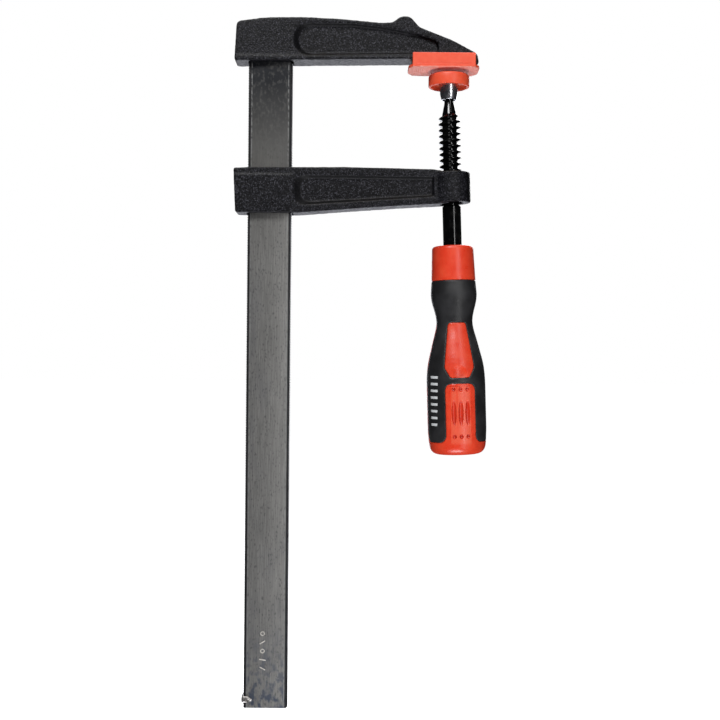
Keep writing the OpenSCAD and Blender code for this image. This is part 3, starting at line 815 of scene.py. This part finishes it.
core_piece = pattern_of("handle_core", "handle_core_moulding")
alone(core_piece)
upright(core_piece)
belly = 14.5 * mm
panel_half, panel_top, panel_foot = 5.2 * mm, -144.6 * mm, -173.4 * mm
step = math.asin(3.45 * mm / belly)
dots = [blob("dot", i * step, belly, z * mm, (1.1 * mm, 1.15 * mm, 1.25 * mm))
        for z in (-146.3, -169.2) for i in (-1, 0, 1)]
grooves = [blob("groove", i * step, belly + 0.3 * mm, -157.8 * mm, (1.35 * mm, 1.9 * mm, 6.6 * mm))
           for i in (-1, 0, 1)]
thumb = blob("thumb", 0, belly + 3 * mm, -138 * mm, (6.4 * mm, 4.4 * mm, 6.6 * mm))
panel = slab("panel", (-panel_half, -belly - mm, panel_foot), (panel_half, -belly / 2, panel_top))
alone(panel)
bpy.ops.mesh.primitive_cylinder_add(vertices=96, radius=belly - 0.3 * mm, depth=60 * mm,
                                    location=(0, 0, -157 * mm))
drum = bpy.context.object
alone()
carve(panel, drum)
finish(core_piece, "REMESH", mode="VOXEL", voxel_size=moulding)
finish(core_piece, "SMOOTH", factor=0.5, iterations=2)
carve(core_piece, three_ways(thumb), three_ways(panel),
      three_ways(join(dots[0], *dots[1:], *grooves)))

# 1 on the face of a panel, -1 deep in its dots and grooves and 0 off the panel;
# it changes sign at this radius, just under the panel's face
shade_radius = 14 * mm
panel_face_and_shade = core_piece.data.attributes.new("panel_face_and_shade", "FLOAT", "POINT")
for v in core_piece.data.vertices:
    turn = (math.atan2(v.co.x, -v.co.y) - window_turn + math.pi / 3) % (math.tau / 3) - math.pi / 3
    radius = math.hypot(v.co.x, v.co.y)
    aside = panel_half - abs(radius * math.sin(turn))
    inside = min(aside, panel_top - v.co.z, v.co.z - panel_foot) / (0.4 * mm)
    proud = (radius - shade_radius) / (0.2 * mm)
    panel_face_and_shade.data[v.index].value = max(0, min(1, inside)) * max(-1, min(1, proud))
on_spindle(core_piece)
bpy.ops.object.shade_smooth_by_angle(angle=math.radians(32))
handle_plastic = paint("handle_plastic", (0.74, 0.048, 0.018), 0.32, Subsurface_Weight=0.08,
                       Subsurface_Scale=0.002)
flow = grain(handle_plastic, 5 * mm, detail=4)
tint(handle_plastic, (0.80, 0.070, 0.026), span(handle_plastic, flow, 0.4, 0.7))
drive(handle_plastic, "Roughness", span(handle_plastic, flow, 0.3, 0.7, 0.26, 0.40))
panel_face_and_shade_node = handle_plastic.node_tree.nodes.new("ShaderNodeAttribute")
panel_face_and_shade_node.attribute_name = "panel_face_and_shade"
panel_share = panel_face_and_shade_node.outputs["Fac"]
# the panel's face is tinted lighter and more orange
tint(handle_plastic, (0.82, 0.13, 0.07), span(handle_plastic, panel_share, 0, 1, 0, 0.7))
# painted shade: the dots and grooves are painted darker inside
tint(handle_plastic, (0.42, 0.012, 0.006), span(handle_plastic, panel_share, 0, -1, 0, 0.5))
relief(handle_plastic, grain(handle_plastic, 0.6 * mm, detail=3), 0.04 * mm)
core_piece.data.materials.append(handle_plastic)
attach(core_piece, "screw")
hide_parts("handle_core")

# ---------------------------------------------------------------------------
# Handle grip. Black rubber moulded over the core, open at the windows. It is
# printed with a plain row of bars along one side.
# ---------------------------------------------------------------------------
grip = pattern_of("handle_grip", "handle_grip_rubber")
alone(grip)
finish(grip, "REMESH", mode="VOXEL", voxel_size=0.42 * mm)
finish(grip, "SMOOTH", factor=0.5, iterations=4)
bpy.ops.object.shade_smooth()
grip_rubber = paint("grip_rubber", (0.013, 0.013, 0.014), 0.44)
skin = grain(grip_rubber, 0.35 * mm, detail=3)
wear = grain(grip_rubber, 9 * mm, detail=5)
tint(grip_rubber, (0.026, 0.026, 0.028), span(grip_rubber, wear, 0.4, 0.7))
print_low, print_bars, print_pitch = -176.2 * mm, 8, 3.3 * mm
beside = along(grip_rubber, "X", -6.6 * mm, both=True)
in_front = span(grip_rubber, along(grip_rubber, "Y"), -6 * mm, -7 * mm)
bars = grip_rubber.node_tree.nodes.new("ShaderNodeMath")
bars.operation = "PINGPONG"
bars.inputs[1].default_value = print_pitch / 2
grip_rubber.node_tree.links.new(along(grip_rubber, "Z", print_low), bars.inputs[0])
middle_of_print = print_low + print_bars * print_pitch / 2
beyond = along(grip_rubber, "Z", middle_of_print, both=True)
white = times(grip_rubber, span(grip_rubber, bars.outputs[0], 1.0 * mm, 1.08 * mm), in_front)
white = times(grip_rubber, white, span(grip_rubber, beside, 1.7 * mm, 1.5 * mm))
half_print = print_bars * print_pitch / 2
white = times(grip_rubber, white, span(grip_rubber, beyond, half_print + 0.1 * mm, half_print))
tint(grip_rubber, (0.72, 0.74, 0.75), white)
drive(grip_rubber, "Roughness", span(grip_rubber, wear, 0.3, 0.7, 0.4, 0.54))
relief(grip_rubber, skin, 0.03 * mm)
grip.data.materials.append(grip_rubber)
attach(grip, "screw")
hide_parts("handle_grip")

# ---------------------------------------------------------------------------
# Studio. A pale floor below the handle's lowest reach, a pale surround, soft
# lights and a camera level with the middle of the clamp.
# ---------------------------------------------------------------------------
alone()
floor_z = -450 * mm
bpy.ops.mesh.primitive_plane_add(size=30, location=(0, 0, floor_z))
floor = bpy.context.object
floor.name = "floor"
floor_paint = paint("floor_paint", (0.9, 0.9, 0.9), 0.9, Emission_Color=(1, 1, 1, 1),
                    Emission_Strength=1.0)
floor.data.materials.append(floor_paint)
floor.visible_diffuse = False
floor.visible_glossy = False
floor.visible_shadow = False

world = bpy.data.worlds.new("studio")
bpy.context.scene.world = world
world.use_nodes = True
nodes, links = world.node_tree.nodes, world.node_tree.links
surround = nodes["Background"]
surround.inputs["Color"].default_value = (0.85, 0.87, 0.92, 1)
surround.inputs["Strength"].default_value = 0.03
backdrop = nodes.new("ShaderNodeBackground")
backdrop.inputs["Color"].default_value = (1, 1, 1, 1)
backdrop.inputs["Strength"].default_value = 1.0
path = nodes.new("ShaderNodeLightPath")
choose = nodes.new("ShaderNodeMixShader")
links.new(path.outputs["Is Camera Ray"], choose.inputs[0])
links.new(surround.outputs[0], choose.inputs[1])
links.new(backdrop.outputs[0], choose.inputs[2])
links.new(choose.outputs[0], nodes["World Output"].inputs["Surface"])

look_at = Vector((-42.85 * mm, 0, -143.3 * mm))


def softbox(name, place, width, height, power, colour=(1, 1, 1)):
    """A rectangular light that faces the clamp."""
    light = bpy.data.lights.new(name, "AREA")
    light.shape = "RECTANGLE"
    light.size, light.size_y = width, height
    light.energy = power
    light.color = colour
    lamp = bpy.data.objects.new(name, light)
    bpy.context.collection.objects.link(lamp)
    lamp.location = place
    lamp.rotation_euler = (look_at - Vector(place)).to_track_quat("-Z", "Y").to_euler()
    lamp.visible_camera = False


softbox("front_strip", (0.34, -0.75, -0.1), 0.07, 1.3, 3.0)
softbox("front_fill", (-0.3, -0.9, 0.8), 0.5, 0.4, 12)
softbox("top", (0, 0.15, 0.8), 0.8, 0.6, 6)
softbox("below", (-0.05, -0.35, -0.95), 0.5, 0.4, 6.5, (0.95, 0.96, 1))
softbox("low_behind", (-0.06, 0.8, -0.18), 0.5, 0.3, 1.4, (0.9, 0.92, 1))
softbox("behind", (0.3, 1.1, 0.4), 0.6, 0.6, 6)

camera_distance = 0.560
camera = bpy.data.cameras.new("camera")
camera.lens = 56.5
camera.sensor_width = 36
camera.clip_start = 0.01
viewpoint = bpy.data.objects.new("camera", camera)
bpy.context.collection.objects.link(viewpoint)
viewpoint.location = look_at - Vector((0, camera_distance, 0))
viewpoint.rotation_euler = (math.pi / 2, -math.radians(0.5), 0)
bpy.context.scene.camera = viewpoint
bpy.context.scene.view_settings.view_transform = "Standard"
